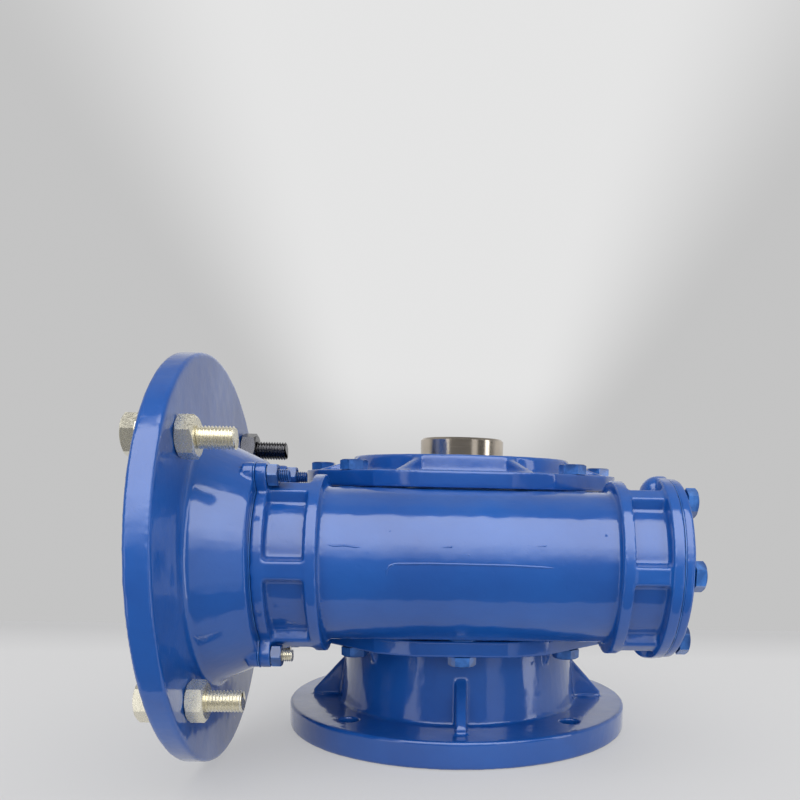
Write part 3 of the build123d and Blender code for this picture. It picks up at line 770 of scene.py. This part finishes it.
def addFloor():
    front, back = studio["floorReach"]
    selectNone()
    bpy.ops.mesh.primitive_plane_add(size=1, location=(0, (front + back) / 2, -0.0002))
    floor = bpy.context.object
    floor.name = "floor"
    floor.scale = (8, back - front, 1)
    bpy.ops.object.transform_apply(location=True, rotation=True, scale=True)
    mat, tree, shader = newMaterial("floorPaper")
    parts = add(tree, "ShaderNodeSeparateXYZ")
    link(tree, objectCoords(tree), parts.inputs[0])
    fade = remap(tree, parts.outputs["Y"], *studio["floorFade"])
    paper = blendColours(tree, fade, studio["floorNear"], studio["floorFar"])
    path = add(tree, "ShaderNodeLightPath").outputs
    seen = calculate(tree, "MAXIMUM", path["Is Camera Ray"], calculate(tree, "MAXIMUM", path["Is Glossy Ray"],
                                                                       path["Is Transmission Ray"]))
    share = calculate(tree, "MULTIPLY", seen, studio["floorSheen"])
    link(tree, blendColours(tree, share, paper, (0, 0, 0, 1)), shader.inputs["Base Color"])
    link(tree, blendColours(tree, share, (0, 0, 0, 1), paper), shader.inputs["Emission Color"])
    setShader(shader, Emission_Strength=1.0)
    setShader(shader, Roughness=0.75, Specular_IOR_Level=0.1)
    floor.data.materials.append(mat)


def smoothRamp(tree, value, low, high, outLow=0.0, outHigh=1.0):
    node = add(tree, "ShaderNodeMapRange", interpolation_type="SMOOTHSTEP")
    for index, number in enumerate((low, high, outLow, outHigh), start=1):
        feed(tree, node.inputs[index], number)
    feed(tree, node.inputs["Value"], value)
    return node.outputs["Result"]


def backdropLevel(tree, across, depth, up):
    width, widening = studio["glowWidth"]
    away = calculate(tree, "MAXIMUM", depth, 0.05)
    rise = calculate(tree, "DIVIDE", up, away)
    aside = calculate(tree, "ABSOLUTE", calculate(tree, "DIVIDE", across, away))
    half = calculate(tree, "ADD", product(tree, calculate(tree, "MAXIMUM", rise, 0.0), widening), width)
    inside = product(tree, smoothRamp(tree, calculate(tree, "DIVIDE", aside, half), *studio["glowEdge"]),
                     smoothRamp(tree, rise, *studio["glowFoot"]), smoothRamp(tree, depth, 0.0, 0.3))
    return remap(tree, inside, 0.0, 1.0, studio["wall"], studio["glow"])


def softboxLevel(tree, across, depth, up):
    box = studio["softbox"]
    height = calculate(tree, "ARCTAN2", up, product(tree, depth, -1.0))
    ramps = [smoothRamp(tree, height, *map(math.radians, box[edge])) for edge in ("top", "bottom")]
    ramps.append(smoothRamp(tree, calculate(tree, "ABSOLUTE", across), *box["sides"]))
    return product(tree, *ramps, box["level"])


def panelsLevel(tree, across, depth, up):
    turn = calculate(tree, "ARCTAN2", across, product(tree, depth, -1.0))
    total = 0.0
    for middle, half, level in studio["panels"]:
        off = calculate(tree, "ABSOLUTE", calculate(tree, "SUBTRACT", turn, math.radians(middle)))
        panel = smoothRamp(tree, off, math.radians(half * 1.25), math.radians(half * 0.75), 0.0, level)
        total = calculate(tree, "ADD", panel, total)
    return product(tree, total, smoothRamp(tree, up, *studio["panelFoot"]),
                   smoothRamp(tree, up, *studio["panelHead"]))


def addWorld():
    world = bpy.data.worlds.new("studio")
    bpy.context.scene.world = world
    world.use_nodes = True
    tree = world.node_tree
    parts = add(tree, "ShaderNodeSeparateXYZ")
    link(tree, add(tree, "ShaderNodeTexCoord").outputs["Generated"], parts.inputs[0])
    towards = [parts.outputs[axis] for axis in "XYZ"]
    depth, up = towards[1:]
    backdrop = backdropLevel(tree, *towards)
    frontShare = remap(tree, depth, -0.1, 0.3, studio["front"] / studio["wall"], 1.0)
    mirrored = product(tree, backdrop, frontShare, smoothRamp(tree, up, *studio["highWall"]))
    for level in (softboxLevel, panelsLevel):
        mirrored = calculate(tree, "MAXIMUM", mirrored, level(tree, *towards))
    path = add(tree, "ShaderNodeLightPath").outputs
    mirrorRay = calculate(tree, "MAXIMUM", path["Is Glossy Ray"], path["Is Transmission Ray"])
    lit = remap(tree, mirrorRay, 0.0, 1.0, studio["ambient"], mirrored)
    shown = remap(tree, path["Is Camera Ray"], 0.0, 1.0, lit, backdrop)
    link(tree, shown, tree.nodes["Background"].inputs["Color"])
    tree.nodes["Background"].inputs["Strength"].default_value = 1.0


addFloor()
addWorld()
addAreaLight("keyLight", studio["key"])
addAreaLight("fillLight", studio["fill"])
bpy.context.scene.view_settings.view_transform = "Standard"
print("stage lit")
